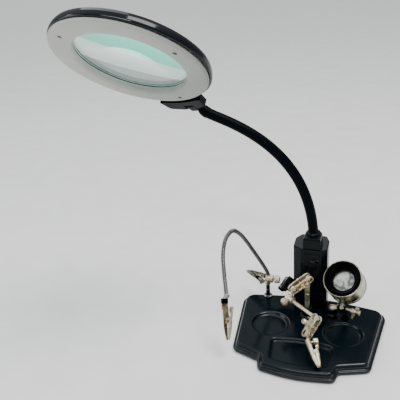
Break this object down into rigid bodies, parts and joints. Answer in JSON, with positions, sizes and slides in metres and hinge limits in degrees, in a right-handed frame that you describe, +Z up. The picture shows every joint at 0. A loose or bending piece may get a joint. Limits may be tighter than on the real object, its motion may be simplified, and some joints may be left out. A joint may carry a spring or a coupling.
{
  "type": "helping hands clamp",
  "caption": "Workbench holder with a heavy black base, spring clips on jointed arms, a flexible metal arm, a ring-lit magnifier lamp on a gooseneck and a small tilting loupe.",
  "frame": {"origin": "on the table under the base, midway between the two round dishes", "axes": "+X to the right, +Y to the back, +Z up; the front tray faces -Y"},
  "size_m": [0.2796, 0.1478, 0.3197],
  "materials": {
    "black_plastic": "semi-gloss moulded black",
    "neck_sleeve": "smooth satin black sleeve",
    "nickel": "bright nickel plating, slightly warm",
    "brass": "worn nickel over brass",
    "dark_chrome": "dark polished chrome",
    "hose_metal": "wound metal hose, satin",
    "steel": "plain zinc-plated steel",
    "frosted_plastic": "frosted white, translucent",
    "circuit_board": "white solder mask",
    "glass": "clear with a slight green edge",
    "foam": "thin foam sheet",
    "cell_jacket": "plain printed jacket, no text"
  },
  "bodies": {
    "base": {"base_shell": "black_plastic", "base_plate": "black_plastic", "weight_plate": "steel", "foot_pad": "foam", "dome_screw": "nickel", "column_housing": "black_plastic", "battery_cell_1": "cell_jacket", "battery_cell_2": "cell_jacket", "battery_cell_3": "cell_jacket", "contact_plate_bottom": "steel", "contact_plate_top": "steel", "switch_body": "steel", "neck_socket": "black_plastic", "left_post": "dark_chrome", "front_socket": "black_plastic", "loupe_post": "dark_chrome"},
    "cover": {"battery_cover": "black_plastic"},
    "slider": {"switch_slider": "black_plastic"},
    "knob": {"side_knob": "black_plastic"},
    "neck_1": {"neck_segment_1": "neck_sleeve"},
    "neck_2": {"neck_segment_2": "neck_sleeve"},
    "neck_3": {"neck_segment_3": "neck_sleeve"},
    "neck_4": {"neck_segment_4": "neck_sleeve", "head_bracket": "black_plastic", "tilt_pin": "steel"},
    "head": {"head_shell": "black_plastic", "diffuser_ring": "frosted_plastic", "head_screw_1": "steel", "head_screw_2": "steel", "head_screw_3": "steel", "led_board": "circuit_board", "lens": "glass"},
    "left_swivel": {"left_block": "nickel"},
    "left_screw": {"left_thumb_screw": "nickel"},
    "clip_2": {"clip_2_body": "nickel"},
    "clip_2_mouth": {"clip_2_jaw": "nickel"},
    "hose_1": {"hose_segment_1": "hose_metal"},
    "hose_2": {"hose_segment_2": "hose_metal"},
    "hose_3": {"hose_segment_3": "hose_metal"},
    "clip_3": {"clip_3_body": "nickel"},
    "clip_3_mouth": {"clip_3_jaw": "nickel"},
    "post": {"front_post": "nickel"},
    "upper_clamp": {"upper_plate_1": "nickel", "upper_plate_2": "nickel"},
    "wing_nut": {"upper_wing_nut": "brass"},
    "block": {"rod_block": "nickel"},
    "block_screw": {"block_thumb_screw": "nickel"},
    "cross_rod": {"arm_rod": "nickel"},
    "lower_clamp": {"lower_plate_1": "nickel", "lower_plate_2": "nickel"},
    "lower_screw": {"lower_thumb_screw": "nickel"},
    "clip_1": {"clip_1_body": "nickel"},
    "clip_1_mouth": {"clip_1_jaw": "nickel"},
    "clip_1_screw": {"clip_1_thumb_screw": "nickel"},
    "loupe_fork": {"loupe_bracket": "nickel"},
    "loupe": {"loupe_barrel": "nickel", "loupe_eyecup": "black_plastic", "loupe_lens": "glass"},
    "loupe_screw": {"loupe_wing_screw": "nickel"}
  },
  "joints": [
    {"name": "battery_cover_slide", "type": "slide", "parent": "base", "child": "cover", "axis": [0, 1, 0], "range_m": [0, 0.02]},
    {"name": "switch_slide", "type": "slide", "parent": "base", "child": "slider", "axis": [1, 0, 0], "range_m": [0, 0.003]},
    {"name": "side_knob_turn", "type": "hinge", "parent": "base", "child": "knob", "pos_m": [-0.0246, 0.041, 0.0272], "axis": [-0.7901, 0, 0.613], "continuous": true},
    {"name": "neck_swing", "type": "hinge", "parent": "base", "child": "neck_1", "pos_m": [0, 0.043, 0.091], "axis": [0, 0, 1], "range_deg": [-25, 25]},
    {"name": "neck_bend_2", "type": "hinge", "parent": "neck_1", "child": "neck_2", "pos_m": [-0.00835, 0.042, 0.13202], "axis": [0.1189, -0.9929, 0], "range_deg": [-15, 10]},
    {"name": "neck_bend_3", "type": "hinge", "parent": "neck_2", "child": "neck_3", "pos_m": [-0.02919, 0.0395, 0.1682], "axis": [0.1189, -0.9929, 0], "range_deg": [-15, 10]},
    {"name": "neck_bend_4", "type": "hinge", "parent": "neck_3", "child": "neck_4", "pos_m": [-0.06103, 0.03569, 0.19514], "axis": [0.1189, -0.9929, 0], "range_deg": [-15, 10]},
    {"name": "head_tilt", "type": "hinge", "parent": "neck_4", "child": "head", "pos_m": [-0.11053, 0.02756, 0.22098], "axis": [-0.9308, 0.3223, -0.1724], "range_deg": [-35, 30]},
    {"name": "left_swivel_turn", "type": "hinge", "parent": "base", "child": "left_swivel", "pos_m": [-0.0473, 0.045, 0.025], "axis": [0, 0, 1], "range_deg": [-15, 15]},
    {"name": "left_screw_turn", "type": "hinge", "parent": "left_swivel", "child": "left_screw", "pos_m": [-0.044, 0.045, 0.031], "axis": [1, 0, 0], "continuous": true},
    {"name": "clip_2_lift", "type": "hinge", "parent": "left_swivel", "child": "clip_2", "pos_m": [-0.044, 0.045, 0.031], "axis": [1, 0, 0], "range_deg": [-12, 12]},
    {"name": "clip_2_open", "type": "hinge", "parent": "clip_2", "child": "clip_2_mouth", "pos_m": [-0.06333, 0.0566, 0.02654], "axis": [-0.5841, -0.8117, 0], "range_deg": [0, 18], "stiffness_Nm_per_rad": 0.02, "springref_deg": -17.19},
    {"name": "hose_bend_1", "type": "hinge", "parent": "left_swivel", "child": "hose_1", "pos_m": [-0.0468, 0.045, 0.0357], "axis": [0.769, -0.6392, 0], "range_deg": [-12, 2]},
    {"name": "hose_bend_2", "type": "hinge", "parent": "hose_1", "child": "hose_2", "pos_m": [-0.06329, 0.03106, 0.07897], "axis": [0.9536, -0.3011, 0], "range_deg": [-15, 2]},
    {"name": "hose_bend_3", "type": "hinge", "parent": "hose_2", "child": "hose_3", "pos_m": [-0.07763, -0.00126, 0.09381], "axis": [0.9992, 0.04, 0], "range_deg": [-20, 4]},
    {"name": "clip_3_turn", "type": "hinge", "parent": "hose_3", "child": "clip_3", "pos_m": [-0.06582, -0.04074, 0.03654], "axis": [0.1491, -0.526, -0.8373], "range_deg": [-60, 60]},
    {"name": "clip_3_open", "type": "hinge", "parent": "clip_3", "child": "clip_3_mouth", "pos_m": [-0.06582, -0.04074, 0.03654], "axis": [0.2993, -0.7831, 0.5452], "range_deg": [0, 18], "stiffness_Nm_per_rad": 0.02, "springref_deg": -17.19},
    {"name": "front_post_turn", "type": "hinge", "parent": "base", "child": "post", "pos_m": [-0.002, 0.02, 0.012], "axis": [0, 0, 1], "range_deg": [-20, 12]},
    {"name": "upper_clamp_swing", "type": "hinge", "parent": "post", "child": "upper_clamp", "pos_m": [-0.0013, 0.02, 0.0536], "axis": [0.6185, -0.7858, 0.0003], "range_deg": [-12, 3]},
    {"name": "wing_nut_turn", "type": "hinge", "parent": "upper_clamp", "child": "wing_nut", "pos_m": [-0.00765, 0.015, 0.0496], "axis": [0.6185, -0.7858, 0.0003], "continuous": true},
    {"name": "block_swing", "type": "hinge", "parent": "upper_clamp", "child": "block", "pos_m": [-0.014, 0.01, 0.0456], "axis": [0.6185, -0.7858, 0.0003], "range_deg": [-12, 3]},
    {"name": "block_screw_turn", "type": "hinge", "parent": "block", "child": "block_screw", "pos_m": [-0.0168, 0.009, 0.0341], "axis": [-0.5954, -0.8024, 0.0401], "continuous": true},
    {"name": "cross_rod_turn", "type": "hinge", "parent": "block", "child": "cross_rod", "pos_m": [-0.0168, 0.009, 0.0341], "axis": [0.8003, -0.5939, -0.082], "range_deg": [-12, 3]},
    {"name": "lower_clamp_swing", "type": "hinge", "parent": "cross_rod", "child": "lower_clamp", "pos_m": [0.0115, -0.012, 0.0312], "axis": [-0.5554, -0.4355, 0.7084], "range_deg": [-2, 12]},
    {"name": "lower_screw_turn", "type": "hinge", "parent": "lower_clamp", "child": "lower_screw", "pos_m": [0.00815, -0.017, 0.0255], "axis": [-0.5554, -0.4355, 0.7084], "continuous": true},
    {"name": "clip_1_swing", "type": "hinge", "parent": "lower_clamp", "child": "clip_1", "pos_m": [0.0048, -0.022, 0.0198], "axis": [-0.5554, -0.4355, 0.7084], "range_deg": [-2, 12]},
    {"name": "clip_1_open", "type": "hinge", "parent": "clip_1", "child": "clip_1_mouth", "pos_m": [0.01467, -0.04329, 0.01634], "axis": [0.0521, -0.1364, 0.9893], "range_deg": [0, 18], "stiffness_Nm_per_rad": 0.02, "springref_deg": -17.19},
    {"name": "clip_1_screw_turn", "type": "hinge", "parent": "clip_1", "child": "clip_1_screw", "pos_m": [0.00749, -0.03197, 0.01828], "axis": [0.9078, 0.4194, 0.01], "continuous": true},
    {"name": "loupe_swivel", "type": "hinge", "parent": "base", "child": "loupe_fork", "pos_m": [0.0343, 0.0245, 0.017], "axis": [0, 0, 1], "range_deg": [-8, 8]},
    {"name": "loupe_tilt", "type": "hinge", "parent": "loupe_fork", "child": "loupe", "pos_m": [0.0318, 0.0184, 0.0254], "axis": [0.9533, -0.3019, 0], "range_deg": [-12, 12]},
    {"name": "loupe_screw_turn", "type": "hinge", "parent": "loupe_fork", "child": "loupe_screw", "pos_m": [0.0318, 0.0184, 0.0254], "axis": [0.9533, -0.3019, 0], "continuous": true}
  ]
}
